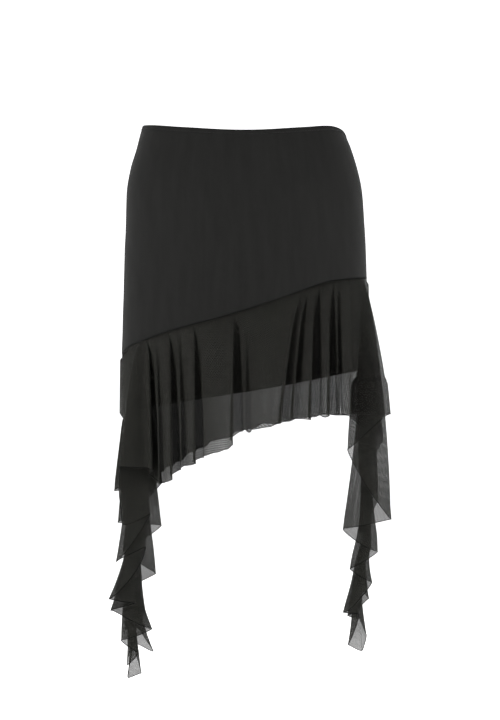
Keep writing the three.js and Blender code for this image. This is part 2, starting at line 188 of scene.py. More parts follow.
# Puts points in millimetres and their faces into a new mesh, as a piece of the skirt
def addObject(name, vertices, faces, material):
    mesh = bpy.data.meshes.new(name)
    mesh.from_pydata((np.asarray(vertices) * mm).tolist(), [], faces)
    mesh.polygons.foreach_set("use_smooth", np.full(len(mesh.polygons), True))
    mesh.materials.append(material)
    mesh.update()
    piece = bpy.data.objects.new(name, mesh)
    bpy.context.scene.collection.objects.link(piece)
    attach(piece, "root")
    return piece


# A grid of points as one sheet of quads. The cloth map holds each corner's place on the flat cloth in
# millimetres.
def addSheet(name, points, cloth, material, thick):
    wide, tall = points.shape[:2]
    i, j = np.meshgrid(np.arange(wide - 1), np.arange(tall - 1), indexing="ij")
    cornerI = np.stack([i, i, i + 1, i + 1], -1).reshape(-1, 4)
    cornerJ = np.stack([j, j + 1, j + 1, j], -1).reshape(-1, 4)
    faces = cornerI * tall + cornerJ
    piece = addObject(name, points.reshape(-1, 3), faces.tolist(), material)
    layer = piece.data.uv_layers.new(name="cloth")
    layer.data.foreach_set("uv", cloth[cornerI, cornerJ].astype(np.float32).ravel())
    shell = piece.modifiers.new("thickness", "SOLIDIFY")
    shell.thickness = thick * mm
    shell.offset = 0
    return piece


# A round cord along a path: a circle of the given radius carried along it, square to the path, with its
# ends closed unless the path is a loop
def addTube(name, path, radius, material, sides=6, loop=False):
    ahead = np.roll(path, -1, 0) - np.roll(path, 1, 0)
    if not loop:
        ahead = np.gradient(path, axis=0)
    ahead = ahead / np.linalg.norm(ahead, axis=1, keepdims=True)
    side = np.cross(ahead, [0, 0, 1])
    side = side / np.linalg.norm(side, axis=1, keepdims=True)
    over = np.cross(side, ahead)
    turn = 2 * math.pi * np.arange(sides) / sides
    ring = np.cos(turn)[None, :, None] * side[:, None] + np.sin(turn)[None, :, None] * over[:, None]
    points = path[:, None] + radius * ring
    count = len(path)
    i, j = np.meshgrid(np.arange(count if loop else count - 1), np.arange(sides), indexing="ij")
    nextI, nextJ = (i + 1) % count, (j + 1) % sides
    quads = np.stack([i * sides + j, nextI * sides + j, nextI * sides + nextJ, i * sides + nextJ], -1)
    faces = quads.reshape(-1, 4).tolist()
    if not loop:
        faces.append(list(range(sides)))
        faces.append(list(range((count - 1) * sides, count * sides))[::-1])
    return addObject(name, points.reshape(-1, 3), faces, material)


# Colours are sRGB hex values, turned to linear by the standard curve
def linear(colour):
    parts = np.array([int(colour[i:i + 2], 16) for i in (0, 2, 4)]) / 255
    parts = np.where(parts <= 0.04045, parts / 12.92, ((parts + 0.055) / 1.055) ** 2.4)
    return (*parts.tolist(), 1.0)


# Adds one node with its settings, its fixed inputs and its links
def addNode(tree, kind, settings=None, inputs=None, links=None):
    node = tree.nodes.new(kind)
    for key, value in (settings or {}).items():
        setattr(node, key, value)
    for key, value in (inputs or {}).items():
        node.inputs[key].default_value = value
    for key, source in (links or {}).items():
        tree.links.new(source, node.inputs[key])
    return node


# An empty material with its node tree and its shader
def newMaterial(name):
    material = bpy.data.materials.new(name)
    material.use_nodes = True
    tree = material.node_tree
    shader = tree.nodes["Principled BSDF"]
    return material, tree, shader


# One wave over the flat cloth: the cosine of the distance along a direction, over the wave's length
def addWave(tree, place, direction, length):
    factor = 2 * math.pi / length
    vector = (direction[0] * factor, direction[1] * factor, 0)
    along = addNode(tree, "ShaderNodeVectorMath", {"operation": "DOT_PRODUCT"}, {1: vector}, {0: place})
    return addNode(tree, "ShaderNodeMath", {"operation": "COSINE"}, links={0: along.outputs["Value"]})


# Three waves at 60 degrees to each other add up to a lattice of round holes, each the same way from its six
# neighbours. stretch makes the holes longer down the cloth than they are wide.
def addNet(tree, place, pitch, stretch):
    lean = math.sqrt(3) / 2
    ways = ((1, 0), (0.5, lean / stretch), (0.5, -lean / stretch))
    waves = [addWave(tree, place, way, pitch * lean) for way in ways]
    two = addNode(tree, "ShaderNodeMath", {"operation": "ADD"},
                  links={0: waves[0].outputs[0], 1: waves[1].outputs[0]})
    return addNode(tree, "ShaderNodeMath", {"operation": "ADD"},
                   links={0: two.outputs[0], 1: waves[2].outputs[0]}).outputs[0]


# Black nylon and elastane power net, warp knitted and dyed: matt black yarn with round holes through which
# what lies behind shows. It is grey where one layer hangs and nearly black where several overlap.
netLook = {
    "yarn": "1f1f1c",
    "otherYarn": "242421",
    "clouds": 0.03,        # how often the yarn's tone changes over a millimetre
    "frontPitch": 1.9,     # such net has a hole about every 1.2 mm, drawn coarser in front so that it shows
    "dropPitch": 1.5,
    "backPitch": 1.2,
    "stretch": 1.25,
    "holeFrom": -0.25,     # level of the lattice where a hole starts, and where it is fully open
    "holeTo": 0.95,
    "frontYarn": 0.3,      # how much shows between the fuzzy yarns, as a share of what a hole lets through
    "backYarn": 0.5,
    "relief": 0.2,
    "roughness": 0.7,
    "gloss": 0.08,
}
reliefDepth = 0.0002       # depth of the yarns' relief, in metres


# The cloth's cover is 1 less the hole map times the openness. The hole map rises from yarnShare between the
# yarns to 1 in the middle of a hole.
def powerNet(name, pitch, yarnShare):
    look = netLook
    material, tree, shader = newMaterial(name)
    cloth = addNode(tree, "ShaderNodeUVMap", {"uv_map": "cloth"})
    clouds = addNode(tree, "ShaderNodeTexNoise", inputs={"Scale": look["clouds"], "Detail": 2},
                     links={"Vector": cloth.outputs["UV"]})
    net = addNet(tree, cloth.outputs["UV"], pitch, look["stretch"])
    openness = addNode(tree, "ShaderNodeAttribute", {"attribute_name": "openness"})
    hole = addNode(tree, "ShaderNodeMapRange", {"interpolation_type": "SMOOTHSTEP"},
                   {"From Min": look["holeFrom"], "From Max": look["holeTo"], "To Min": yarnShare},
                   {"Value": net})
    through = addNode(tree, "ShaderNodeMath", {"operation": "MULTIPLY"},
                      links={0: hole.outputs["Result"], 1: openness.outputs["Fac"]})
    alpha = addNode(tree, "ShaderNodeMath", {"operation": "SUBTRACT"}, {0: 1.0}, {1: through.outputs[0]})
    tone = addNode(tree, "ShaderNodeMix", {"data_type": "RGBA"},
                   {"A": linear(look["yarn"]), "B": linear(look["otherYarn"])},
                   {"Factor": clouds.outputs["Fac"]})
    bump = addNode(tree, "ShaderNodeBump", {"invert": True},
                   {"Strength": look["relief"], "Distance": reliefDepth}, {"Height": net})
    tree.links.new(tone.outputs["Result"], shader.inputs["Base Color"])
    tree.links.new(alpha.outputs[0], shader.inputs["Alpha"])
    tree.links.new(bump.outputs["Normal"], shader.inputs["Normal"])
    shader.inputs["Roughness"].default_value = look["roughness"]
    shader.inputs["Specular IOR Level"].default_value = look["gloss"]
    return material


# Black stretch mesh laid on its lining: two dense layers that read as one soft matt black cloth, with a
# very fine upright rib from the knitted wales
bodyLook = {
    "light": "1d1d1c",
    "dark": "131312",
    "ribs": 1.5,           # real wales are 0.6 mm apart, drawn coarser so that they show
    "courses": 0.8,        # the rows across, as a share of the ribs' spacing
    "coursesLean": 0.25,
    "clouds": (0.09, 0.012, 1),     # how often the tone changes over a millimetre, across and down
    "relief": 0.3,
    "roughness": 0.75,
    "gloss": 0.1,
}
# Black polyester tricot of the lining: the same matt knit, finer and more even in tone
liningLook = {**bodyLook, "light": "1b1b1b", "dark": "161616", "ribs": 1.2}


# A tone that clouds over the cloth, and a relief that is the wave of the ribs plus half that of the courses
def doubledMesh(name, look):
    material, tree, shader = newMaterial(name)
    cloth = addNode(tree, "ShaderNodeUVMap", {"uv_map": "cloth"})
    stretched = addNode(tree, "ShaderNodeMapping", inputs={"Scale": look["clouds"]},
                        links={"Vector": cloth.outputs["UV"]})
    cloudy = addNode(tree, "ShaderNodeTexNoise", inputs={"Scale": 1.0, "Detail": 4, "Roughness": 0.6},
                     links={"Vector": stretched.outputs["Vector"]})
    tone = addNode(tree, "ShaderNodeMix", {"data_type": "RGBA"},
                   {"A": linear(look["dark"]), "B": linear(look["light"])},
                   {"Factor": cloudy.outputs["Fac"]})
    ribs = addWave(tree, cloth.outputs["UV"], (1, 0), look["ribs"])
    courses = addWave(tree, cloth.outputs["UV"], (look["coursesLean"], 1), look["ribs"] * look["courses"])
    both = addNode(tree, "ShaderNodeMath", {"operation": "MULTIPLY_ADD"}, {1: 0.5},
                   {0: courses.outputs[0], 2: ribs.outputs[0]})
    bump = addNode(tree, "ShaderNodeBump", inputs={"Strength": look["relief"], "Distance": reliefDepth},
                   links={"Height": both.outputs[0]})
    tree.links.new(tone.outputs["Result"], shader.inputs["Base Color"])
    tree.links.new(bump.outputs["Normal"], shader.inputs["Normal"])
    shader.inputs["Roughness"].default_value = look["roughness"]
    shader.inputs["Specular IOR Level"].default_value = look["gloss"]
    return material


# Spun polyester sewing thread, black, a little shinier than the cloth so that stitches catch the light
threadLook = {"dark": "161616", "light": "242424", "twist": 900, "roughness": 0.5, "gloss": 0.3}


def sewingThread():
    look = threadLook
    material, tree, shader = newMaterial("blackSewingThread")
    place = addNode(tree, "ShaderNodeTexCoord")
    twist = addNode(tree, "ShaderNodeTexNoise", inputs={"Scale": look["twist"], "Detail": 1},
                    links={"Vector": place.outputs["Object"]})
    tone = addNode(tree, "ShaderNodeMix", {"data_type": "RGBA"},
                   {"A": linear(look["dark"]), "B": linear(look["light"])},
                   {"Factor": twist.outputs["Fac"]})
    tree.links.new(tone.outputs["Result"], shader.inputs["Base Color"])
    shader.inputs["Roughness"].default_value = look["roughness"]
    shader.inputs["Specular IOR Level"].default_value = look["gloss"]
    return material


# Overlocked nylon edge: the same matt yarn, closed by the stitches. Its colour is darker than the yarn's,
# as painted shade of the folds under each tier's hem, so a hem shows as a dark line. The slanted seam's
# edge is darker still: its colour is painted shade of the crease between the two cloths.
edgeLook = {"hem": "0c0c0b", "seam": "040404", "roughness": 0.75, "gloss": 0.08}


def overlocked(name, colour):
    material, tree, shader = newMaterial(name)
    shader.inputs["Base Color"].default_value = linear(colour)
    shader.inputs["Roughness"].default_value = edgeLook["roughness"]
    shader.inputs["Specular IOR Level"].default_value = edgeLook["gloss"]
    return material


# Soft creases of the fitted body: long shallow troughs and ridges. A row gives the angle and height of the
# middle, its length and width in mm, how far it leans in degrees for each mm up, and its depth in mm,
# negative for a trough.
bodyCreases = tableOf("angle z long wide lean deep", [
    (244, -70, 90, 5, 0.03, -0.5),
    (256, -120, 120, 6, -0.02, 0.5),
    (263, -60, 60, 4, 0.02, -0.45),
    (285, -110, 100, 6, 0.04, -0.5),
    (301, -70, 70, 5, -0.05, 0.45),
    (232, -190, 90, 6, 0.05, -0.5),
    (272, -190, 70, 5, -0.03, -0.35),
    (62, -80, 80, 5, 0.03, -0.5),
    (84, -130, 120, 6, -0.03, 0.5),
    (101, -70, 70, 5, 0.02, -0.5),
    (122, -150, 110, 7, 0.04, -0.5),
])
millimetresPerDegree = 2.2      # between 2.0 round the waist and 2.4 round the hips


# Adds up the creases: each is a bell across its width times a bell along its length
def creaseDepth(angle, z):
    total = 0 * z
    for row in bodyCreases:
        turned = angle - row["angle"] - row["lean"] * (z - row["z"])
        across = turned * millimetresPerDegree / row["wide"]
        along = (z - row["z"]) / row["long"]
        total = total + row["deep"] * np.exp(-across**2) * np.exp(-2 * along**2)
    return total


# A plain panel on the body line, with its top and bottom edge at each angle
def panelGrid(fromAngle, toAngle, columns, rows, topEdge, bottomEdge):
    angle = np.linspace(fromAngle, toAngle, columns)[:, None]
    v = np.linspace(0, 1, rows)[None, :]
    top, bottom = topEdge(angle), bottomEdge(angle)
    z = top + (bottom - top) * v
    angle = angle + 0 * z
    points = onBody(angle, z)
    return angle, z, points, outFrom(points)


# Place on the flat cloth of a plain panel: level distance along its middle row, by height
def clothMap(points):
    row = points[:, (points.shape[1] - 1) // 2, :2]
    across = np.r_[0, np.cumsum(np.linalg.norm(np.diff(row, axis=0), axis=-1))]
    return np.stack([across[:, None] + 0 * points[..., 2], points[..., 2]], -1)


# Place on the flat cloth of a flared piece, which is cut as part of a ring. Over the ring's turn the seam
# arc grows to the hem arc, so turn = (hem - seam) / depth and the seam's radius = seam / turn. A place
# round the ring is its share of the hem's length, or of its own row's length where the cloth lies smooth.
def flareMap(points, lay, smooth):
    across = runLength(points, 0)
    down = runLength(points, 1)
    seamArc, hemArc = across[-1, 0], across[-1, -1]
    turn = (hemArc - seamArc) / down[:, -1].max()
    share = across / across[-1:] if smooth else across[:, -1:] / hemArc
    angle = math.radians(lay) + turn * (share - 0.5)
    radius = seamArc / turn + down
    return np.stack([radius * np.sin(angle), -radius * np.cos(angle)], -1)


# In mm: middle is how far out from the body line the section's middle lies, corner makes it squarer
casing = {
    "height": 6.4, "middle": -0.9, "halfThick": 1.75, "tuckedUnder": 1.2, "corner": 0.5,
    "columns": 520, "profile": 28, "gather": 0.12, "gatherWave": 6.0,
    "stitchUp": 1.3, "stitchOut": 0.95, "stitch": 2.6, "thread": 0.16,
}


# Upper edge of the body and the lining, tucked a little under the casing
def underCasing(angle):
    return waistAt(angle) - casing["height"] + casing["tuckedUnder"]


# The turned top edge: a rounded box section, carried round the waist, with small gathers over the elastic
def makeCasing(material):
    angle = np.linspace(0, 360, casing["columns"], endpoint=False)[:, None]
    turn = np.linspace(0, 2 * math.pi, casing["profile"], endpoint=False)[None, :]
    boxed = np.sign(np.cos(turn)) * np.abs(np.cos(turn)) ** casing["corner"]
    out = casing["middle"] + casing["halfThick"] * boxed
    up = 0.5 * np.sign(np.sin(turn)) * np.abs(np.sin(turn)) ** casing["corner"] - 0.5
    base = onBody(angle + 0 * turn, waistAt(angle) + up * casing["height"])
    along = runLength(base, 0)[:, :1]
    out = out + casing["gather"] * ripple(along, casing["gatherWave"]) * (np.cos(turn) > 0)
    points = base + outFrom(base) * out[..., None]
    points = points[:, ::-1]
    wide, tall = points.shape[:2]
    i, j = np.meshgrid(np.arange(wide), np.arange(tall), indexing="ij")
    nextI, nextJ = (i + 1) % wide, (j + 1) % tall
    faces = np.stack([i * tall + j, i * tall + nextJ, nextI * tall + nextJ, nextI * tall + j], -1)
    piece = addObject("waistCasing", points.reshape(-1, 3), faces.reshape(-1, 4).tolist(), material)
    layer = piece.data.uv_layers.new(name="cloth")
    u = np.append(along[:, 0], along[-1, 0] + (along[-1, 0] - along[-2, 0]))
    cornerU = u[np.stack([i, i, i + 1, i + 1], -1)]
    cornerV = 1.0 * np.stack([j, j + 1, j + 1, j], -1)
    corners = np.stack([cornerU, cornerV], -1)
    layer.data.foreach_set("uv", corners.astype(np.float32).ravel())
    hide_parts("waist_casing")
    return piece


# A stitch's bead: the places of its rings as shares of the spacing, their widths as shares of the thread's
# radius, and how far along the path its direction is read, in mm
stitchBead = {
    "stops": [-0.42, -0.3, 0.0, 0.3, 0.42], "widths": [0.25, 0.85, 1.0, 0.85, 0.25],
    "sides": 6, "lookAhead": 0.2,
}


# Stitches along a path: each is a short bead, thick in the middle and tapered to its ends, with round rings
# carried along the path's direction
def addStitches(name, path, spacing, radius, material):
    rings, sides = len(stitchBead["stops"]), stitchBead["sides"]
    length = np.r_[0, np.cumsum(np.linalg.norm(np.diff(path, axis=0), axis=1))]
    at = np.arange(spacing / 2, length[-1] - spacing / 2, spacing)
    further = at + stitchBead["lookAhead"]
    centre = np.stack([np.interp(at, length, path[:, k]) for k in range(3)], -1)
    ahead = np.stack([np.interp(further, length, path[:, k]) for k in range(3)], -1) - centre
    ahead = ahead / np.linalg.norm(ahead, axis=1, keepdims=True)
    side = np.cross(ahead, [0, 0, 1])
    side = side / np.linalg.norm(side, axis=1, keepdims=True)
    over = np.cross(side, ahead)
    along = np.array(stitchBead["stops"]) * spacing
    fat = np.array(stitchBead["widths"]) * radius
    turn = 2 * math.pi * np.arange(sides) / sides
    points = (
        centre[:, None, None]
        + along[None, :, None, None] * ahead[:, None, None]
        + (fat[:, None] * np.cos(turn))[None, :, :, None] * side[:, None, None]
        + (fat[:, None] * np.sin(turn))[None, :, :, None] * over[:, None, None]
    )
    first = rings * sides * np.arange(len(at))[:, None, None]
    i, j = np.meshgrid(np.arange(rings - 1), np.arange(sides), indexing="ij")
    nextI, nextJ = i + 1, (j + 1) % sides
    quads = np.stack([i * sides + j, nextI * sides + j, nextI * sides + nextJ, i * sides + nextJ], -1)
    caps = np.array([np.arange(sides), rings * sides - 1 - np.arange(sides)])
    faces = (first + quads.reshape(1, -1, 4)).reshape(-1, 4).tolist()
    faces += (first + caps[None]).reshape(-1, sides).tolist()
    return addObject(name, points.reshape(-1, 3), faces, material)


stitchPathSteps = 721


# A path round the body line at the height that a function of the angle gives, set out from it
def stitchPath(height, out):
    angle = np.linspace(0, 360, stitchPathSteps)
    base = onBody(angle, height(angle))
    return base + outFrom(base) * out


# Heights, waves and fades in mm: the slow ripple starts below the waist, the puckers fade out there
body = {
    "columns": 150, "rows": 110, "thick": 0.7, "lip": 0.05, "lipHeight": 0.8,
    "ripple": 0.25, "rippleWave": 46.0, "rippleLean": 0.35, "rippleStart": 12,
    "pucker": 0.10, "puckerWave": 8.0, "puckerFade": 10,
}


# Front or back of the body: the body line with its creases, and a lower edge that rolls out a little
def makeBody(name, node, fromAngle, toAngle, material):
    angle, z, points, out = panelGrid(fromAngle, toAngle, body["columns"], body["rows"],
                                      underCasing, seamAt)
    aboveSeam = z - seamAt(angle)
    belowWaist = underCasing(angle) - z
    lip = body["lip"] * np.exp(-aboveSeam / body["lipHeight"])
    fade = np.clip(belowWaist / body["rippleStart"], 0, 1)
    slanted = points[..., 0] + body["rippleLean"] * points[..., 2]
    rippled = body["ripple"] * ripple(slanted, body["rippleWave"]) * fade
    puckered = body["pucker"] * ripple(points[..., 0] - points[..., 1], body["puckerWave"])
    puckers = puckered * np.exp(-belowWaist / body["puckerFade"])
    points = points + out * (creaseDepth(angle, z) * fade + rippled + puckers + lip)[..., None]
    piece = addSheet(name, points, clothMap(points), material, body["thick"])
    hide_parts(node)
    return piece


# In mm: inset is how far inside the body line it hangs, and the wave is that of its hem
lining = {
    "columns": 110, "rows": 60, "thick": 0.5, "inset": 2.3,
    "wave": 0.5, "waveLong": 75.0, "wavePhase": 0.7, "waveFade": 45,
    "stitchUp": 12.0, "stitchOut": -2.0, "stitch": 2.8, "thread": 0.15,
}


# Front or back of the lining: a plain tube inside the body, a little wavy at its free hem
def makeLining(name, node, fromAngle, toAngle, material):
    angle, z, points, out = panelGrid(fromAngle, toAngle, lining["columns"], lining["rows"],
                                      underCasing, liningHemAt)
    aboveHem = z - liningHemAt(angle)
    free = np.exp(-aboveHem / lining["waveFade"])
    wavy = ripple(points[..., 0] + points[..., 1], lining["waveLong"], lining["wavePhase"])
    wave = lining["wave"] * wavy * free
    points = points + out * (wave - lining["inset"])[..., None]
    piece = addSheet(name, points, clothMap(points), material, lining["thick"])
    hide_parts(node)
    return piece


# In mm: where the cord lies from the seam line, and its radius
seam = {"below": 0.45, "outside": 0.1, "cord": 0.55, "steps": 600, "sides": 8}


# The overlocked thread of the slanted seam: a round cord carried along the body line, just under its edge.
# Its near black colour is painted shade of the crease there.
def makeSeamCord(material):
    angle = np.linspace(0, 360, seam["steps"], endpoint=False)
    base = onBody(angle, seamAt(angle) - seam["below"])
    path = base + outFrom(base) * seam["outside"]
    piece = addTube("slantedSeam", path, seam["cord"], material, sides=seam["sides"], loop=True)
    return piece


# What shapes the flounce's cloth, in mm or as shares
flounce = {
    "thick": 0.4,
    "foldRadius": 3.2,
    "foldDepth": 1.4,
    "swing": 0.55,
    "seamHold": 0.06,
    "pastCorner": 0.4,
    "liningClearance": 2.4,
    "clearFrom": 0.02,          # share of the way down from which the flounce keeps clear of the lining
    "liningDrop": 3,
    "tuckSlope": 0.7,
    "deepestTuck": 60,
    "liningShare": 0.3,
    "seamGap": 0.4,
    "hemCord": 0.5,
}

# A row for each fold of the band, as the solids have them. top and hem are its x at the seam and the hem,
# out is how far from the body line it ends, and z is the hem's height there.
frontFolds = tableOf("top hem out z", [
    (-129, -127, 12, -440),
    (-125, -117, 15, -442),
    (-122, -120, 1, -450),
    (-119, -109, 1, -458),
    (-116, -108, 13, -460),
    (-110, -103, 9, -459),
    (-104, -98, 17, -457),
    (-97, -91, 14, -454),
    (-94, -94, 1, -449),
    (-91, -82, 0, -443),
    (-88, -80, 13, -439),
    (-81, -75, 8, -437),
    (-75, -69, 16, -436),
    (-66, -62, 14, -434),
    (-63, -65, 1, -431),
    (-60, -53, 0, -427),
    (-57, -50, 12, -424),
    (-42, -36, 13, -420),
    (-25, -23, 15, -416),
    (-16, -15, 19, -410),
    (-13, -18, 2, -402),
    (-10, -4, 0, -394),
    (-7, -1, 12, -391),
    (2, 5, 8, -395),
    (12, 10, 14, -391),
    (36, 30, 15, -388),
    (62, 42, 13, -384),
    (74, 46, 12, -383),
    (76, 43, 3, -381),
    (78, 56, 10, -380),
    (80, 60, 13, -378),
    (82, 59, 3, -378),
    (84, 72, 13, -378),
    (88, 83, 16, -379),
    (90, 80, 1, -376),
    (92, 94, 0, -374),
    (95, 96, 13, -374),
    (99, 101, 17, -376),
    (105, 107, 14, -374),
    (108, 104, 1, -373),
    (111, 115, 1, -373),
    (113, 117, 12, -373),
    (116, 120, 6, -374),
    (121, 125, 13, -373),
    (128, 134, 11, -373),
    (133, 139, -3, -373),
])
backFolds = tableOf("top hem out z", [
    (134, 133, -6, -377),
    (122, 122, 16, -378),
    (108, 106, 3, -376),
    (94, 91, 18, -381),
    (78, 73, 4, -381),
    (60, 57, 17, -387),
    (40, 39, 15, -390),
    (26, 25, 3, -389),
    (10, 8, 18, -397),
    (-6, -9, 4, -399),
    (-24, -25, 17, -409),
    (-44, -43, 3, -412),
    (-60, -58, 18, -422),
    (-76, -74, 4, -428),
    (-92, -88, 17, -440),
    (-106, -102, 2, -446),
    (-118, -112, 14, -454),
    (-130, -122, -4, -460),
])

# Side drops: turn is how many degrees round from the side a fold starts, x, y, z its corner at the hem, and
# swing how late it flares out: under 1 at once, 3 or more only near its corner
lowPoint = {"turn": 0, "x": -152, "y": 0, "z": -717, "swing": 5.0}
highPoint = {"turn": 0, "x": 152, "y": 0, "z": -682, "swing": 5.0}
lowFrontFolds = tableOf("turn x y z swing", [
    (1.3, -135, -4, -711, 5.0),
    (2.7, -146, -8, -670, 2.0),
    (4.3, -153, -12, -699, 4.0),
    (6.5, -138, -17, -682, 3.0),
    (9, -160, -23, -665, 4.0),
    (12, -120, -30, -650, 5.0),
    (15, -173, -37, -626, 4.5),
    (18, -141, -45, -616, 3.0),
    (21, -174, -52, -610, 4.0),
    (24, -127, -60, -543, 1.2),
    (27, -164, -68, -561, 1.5),
    (30, -120, -77, -499, 0.8),
    (33, -154, -86, -513, 0.7),
    (36, -157, -96, -439, 0.65),
])
highFrontFolds = tableOf("turn x y z swing", [
    (21, 185, -66, -373, 0.65),
    (18, 131, -58, -418, 0.5),
    (15.5, 187, -50, -508, 0.68),
    (13, 126, -42, -520, 1.28),
    (10.5, 171, -34, -550, 5.0),
    (8, 135, -26, -573, 2.2),
    (6, 164, -19, -591, 6.0),
    (4.2, 128, -13, -631, 6.0),
    (2.7, 147, -9, -633, 2.0),
    (1.3, 134, -5, -674, 6.0),
])
highBackFolds = tableOf("turn x y z swing", [
    (1.5, 158, 5, -661, 6.0),
    (3, 149, 9, -641, 2.0),
    (5, 134, 14, -637, 6.0),
    (8, 162, 21, -616, 6.0),
    (12, 146, 30, -596, 3.0),
    (16, 166, 40, -549, 4.0),
    (20, 150, 50, -530, 1.5),
    (24, 176, 60, -488, 0.65),
    (28, 151, 70, -452, 1.3),
    (31, 182, 80, -406, 0.6),
])
lowBackFolds = tableOf("turn x y z swing", [
    (34, -173, 86, -478, 0.65),
    (30.5, -111, 77, -466, 0.7),
    (27, -169, 68, -519, 0.8),
    (23.5, -111, 60, -522, 0.8),
    (20, -161, 52, -554, 1.5),
    (17, -117, 44, -585, 1.5),
    (14, -170, 37, -606, 4.0),
    (11, -131, 30, -632, 3.0),
    (8, -156, 23, -657, 3.0),
    (5.6, -140, 17, -654, 2.0),
    (3.5, -120, 12, -684, 5.0),
    (1.6, -144, 6, -673, 2.0),
])

# The middle line that each drop hangs along, from the seam down
lowAxis = [
    {"z": -290, "x": -156}, {"z": -460, "x": -147}, {"z": -560, "x": -145},
    {"z": -620, "x": -147}, {"z": -680, "x": -144}, {"z": -720, "x": -145},
]
highAxis = [
    {"z": -197, "x": 156}, {"z": -372, "x": 160}, {"z": -520, "x": 156}, {"z": -566, "x": 149},
    {"z": -594, "x": 147}, {"z": -620, "x": 145}, {"z": -690, "x": 147},
]


# Angle at the seam, corner at the hem, swing, and whether it is a drop's, of each fold in order round the
# body from the low side
def allFolds():
    def across(rows, side):
        table = {key: np.array([row[key] for row in rows], float) for key in ("top", "hem", "out", "z")}
        angle = angleAt(table["top"], readTable(bodyShape["seamLine"], "x", "z", table["top"]), side)
        corner = onGrown(table["hem"], table["z"], table["out"] * flounce["foldDepth"], side)
        return angle, corner, flounce["swing"] + 0 * angle, 0 * angle

    def down(rows, sideAngle, way):
        angle = np.array([sideAngle + way * row["turn"] for row in rows], float)
        corner = np.array([[row["x"], row["y"], row["z"]] for row in rows], float)
        return angle, corner, np.array([row["swing"] for row in rows], float), np.sign(corner[:, 0])

    front = across(frontFolds, "front")
    back = across(backFolds, "back")
    parts = [
        down([lowPoint], 180, 1), down(lowFrontFolds, 180, 1), front,
        down(highFrontFolds, 360, -1), down([highPoint], 360, 1), down(highBackFolds, 360, 1),
        (back[0] + 360, *back[1:]), down(lowBackFolds, 540, -1),
    ]
    return [np.concatenate([part[k] for part in parts]) for k in range(4)]


foldAngles, foldHems, foldSwings, foldSides = allFolds()
foldTops = onBody(foldAngles, seamAt(foldAngles))
foldCount = len(foldAngles)


# How far the middle line of a fold's drop has moved from where it starts. Folds of the front and back have
# none.
def axisShift(index, z):
    side = foldSides[index]
    shift = 0 * z
    for sign, rows in ((-1, lowAxis), (1, highAxis)):
        moved = readTable(rows, "z", "x", z) - readTable(rows, "z", "x", foldTops[index][..., 2])
        shift = np.where(side == sign, moved, shift)
    return shift


# Pushes points out to the flounce's side of the lining. Below the lining's hem they may swing inwards.
def clearOfLining(p):
    half, deep = sectionAt(p[..., 2], p[..., 0], p[..., 1])
    hemZ = readTable(bodyShape["liningHem"], "x", "z", p[..., 0])
    below = np.maximum(0, hemZ - flounce["liningDrop"] - p[..., 2])
    out = np.maximum(-flounce["deepestTuck"], flounce["liningClearance"] - below * flounce["tuckSlope"])
    power = bodyShape["roundness"]
    across = np.abs(p[..., 0] / (half + out)) ** power
    along = np.abs(p[..., 1] / (deep + out)) ** power
    share = np.maximum((across + along) ** (1 / power), 1e-6)
    push = np.where(share < 1, 1 / share, 1.0)
    return np.stack([p[..., 0] * push, p[..., 1] * push, p[..., 2]], -1)


# Where each fold's line passes a height. A drop's fold follows the drop's middle line, and its corner's
# distance from that line comes in by the share of the way down to the power of its swing.
def foldAt(index, z):
    index = np.mod(index, foldCount)
    top, hem = foldTops[index], foldHems[index]
    t = np.maximum(0, (top[..., 2] - z) / (top[..., 2] - hem[..., 2]))
    share = np.minimum(1, t / flounce["seamHold"]) * np.minimum(t, 1) ** foldSwings[index]
    share = share + flounce["pastCorner"] * np.maximum(0, t - 1)
    aim = hem - top
    aim[..., 0] -= axisShift(index, hem[..., 2])
    p = top + aim * share[..., None]
    p[..., 0] += axisShift(index, z)
    p[..., 2] = z
    return np.where((t > flounce["clearFrom"])[..., None], clearOfLining(p), p)


# Vectors of length 1
def unit(v):
    return v / np.maximum(np.linalg.norm(v, axis=-1, keepdims=True), 1e-9)


# The flounce's cloth. u counts folds and v runs from the seam to the hem. Between two folds the cloth
# follows a cubic that leaves each along the line between its neighbours, so deep folds turn in an arc.
def flounceGrid(u, v):
    u, v = np.broadcast_arrays(u[:, None], v[None, :])
    k = np.floor(u + 1e-9).astype(int)
    f = u - k
    here, after = np.mod(k, foldCount), np.mod(k + 1, foldCount)
    nextAngle = np.where(foldAngles[after] > foldAngles[here], foldAngles[after], foldAngles[after] + 360)
    ease = f * f * (3 - 2 * f)
    angle = foldAngles[here] + (nextAngle - foldAngles[here]) * f
    topZ = seamAt(angle) - flounce["seamGap"]
    bendZ = liningHemAt(angle) - flounce["liningDrop"]
    hemZ = foldHems[here][..., 2] + (foldHems[after][..., 2] - foldHems[here][..., 2]) * ease
    part = flounce["liningShare"]
    upper = topZ + (bendZ - topZ) * v / part
    lower = bendZ + (hemZ - bendZ) * (v - part) / (1 - part)
    z = np.where(v < part, upper, lower)
    before, a, b, beyond = (foldAt(k + d, z) for d in (-1, 0, 1, 2))
    leg = b - a

    def tangent(start, end):
        way = (end - start) * [1, 1, 0]
        way = unit(way)
        along = np.abs(np.sum(leg * way, -1))
        side = np.sqrt(np.maximum(0, np.sum(leg * leg, -1) - along**2))
        return way * np.maximum(along, np.sqrt(6 * side * flounce["foldRadius"]))[..., None]

    leave, arrive = tangent(before, b), tangent(a, beyond)
    e, g = ease[..., None], f[..., None]
    points = a + leg * e + leave * (g * (1 - g) ** 2) - arrive * (g * g * (1 - g))
    points[..., 2] = z
    return points


# Small movement of the cloth along its normal, in mm
clothLife = {
    "gather": 0.16, "gatherWave": 7.5, "gatherStart": 3, "gatherFade": 16,
    "slow": 0.12, "slowWave": 27.0, "slowLean": 0.12, "slowStart": 40, "slowPhase": 1.0,
    "flutterWave": 21.0, "flutterLean": -0.2, "flutterFade": 22, "flutterPhase": 2.0,
}


